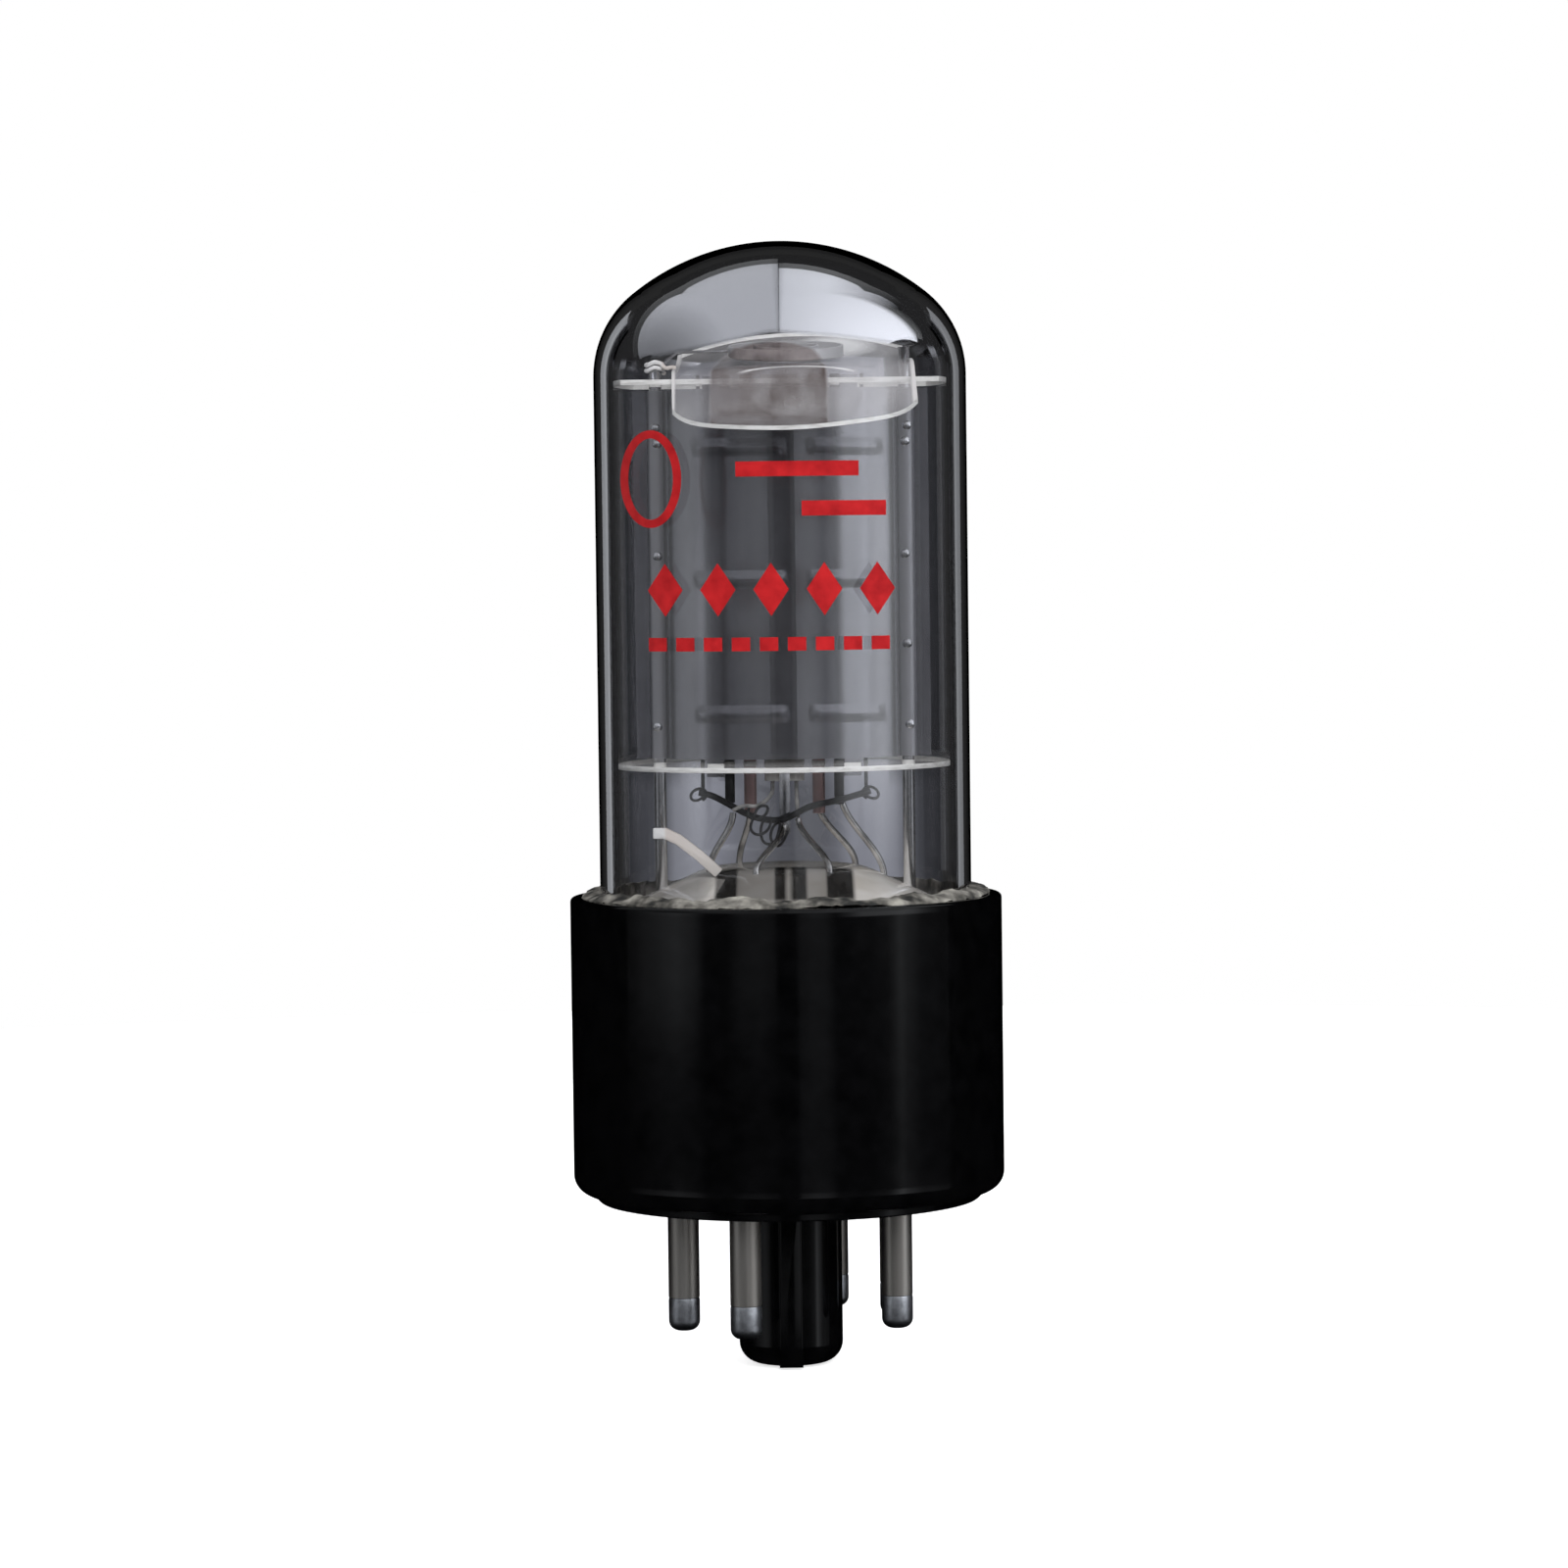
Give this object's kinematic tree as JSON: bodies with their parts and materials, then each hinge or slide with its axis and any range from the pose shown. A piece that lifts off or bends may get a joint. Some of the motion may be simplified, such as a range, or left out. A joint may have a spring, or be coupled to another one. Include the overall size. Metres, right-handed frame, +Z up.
{
  "type": "beam power pentode",
  "caption": "Beam power vacuum tube: smoky glass bulb with a sealed electrode cage, on a black octal base with plug-in pins and a guide key.",
  "frame": {"origin": "centre of the base's seating face, on the bulb's axis", "axes": "+Z up the bulb from the base to the dome, -Y out through the guide key's rib, +X to the right seen from the rib's side"},
  "size_m": [0.0328, 0.0328, 0.0852],
  "materials": {
    "bakelite": "moulded phenolic, polished, black",
    "cement": "matt cream basing cement",
    "pin_metal": "nickel plated tube, drawn lengthways",
    "tin": "solder, satin",
    "lead_wire": "nickel wire, satin",
    "stem_glass": "pressed glass, cream and nearly opaque",
    "bulb_glass": "clear bulb with a light smoky tint",
    "getter_mirror": "silver getter film",
    "mica": "mica with a white sprayed coat",
    "shield_mica": "milky clear mica sheet",
    "anode_metal": "grey nickel coated sheet, satin",
    "rod_metal": "bright nickel",
    "dark_metal": "carbonised metal, matt black",
    "copper": "copper rod",
    "grid_wire": "fine grid wire",
    "cathode_coat": "white emissive coat on nickel",
    "heater_coat": "white insulating coat on wire",
    "cream_metal": "cream coated strip",
    "getter_metal": "nickel cup, stained brown"
  },
  "bodies": {
    "root": {"base_shell": "bakelite", "basing_cement": "cement", "pin_2": "pin_metal", "pin_3": "pin_metal", "pin_4": "pin_metal", "pin_5": "pin_metal", "pin_7": "pin_metal", "pin_8": "pin_metal", "tin_2": "tin", "tin_3": "tin", "tin_4": "tin", "tin_5": "tin", "tin_7": "tin", "tin_8": "tin", "lead_2": "lead_wire", "lead_3": "lead_wire", "lead_4": "lead_wire", "lead_5": "lead_wire", "lead_7": "lead_wire", "lead_8": "lead_wire", "spare_lead": "lead_wire", "stem": "stem_glass", "glass_envelope": "bulb_glass", "getter_flash": "getter_mirror", "bottom_mica": "mica", "top_mica": "mica", "mica_shield": "shield_mica", "anode_front": "anode_metal", "anode_back": "anode_metal", "anode_rod_left": "rod_metal", "anode_rod_right": "rod_metal", "beam_plate_left": "dark_metal", "beam_plate_right": "dark_metal", "grid_1_rod_left": "copper", "grid_1_rod_right": "copper", "grid_1_winding": "grid_wire", "grid_2_rod_left": "dark_metal", "grid_2_rod_right": "dark_metal", "grid_2_winding": "grid_wire", "cathode_sleeve": "cathode_coat", "heater": "heater_coat", "cathode_tab": "rod_metal", "beam_strap": "dark_metal", "stem_brace": "cream_metal", "getter_cup": "getter_metal", "getter_support": "rod_metal"}
  },
  "joints": []
}
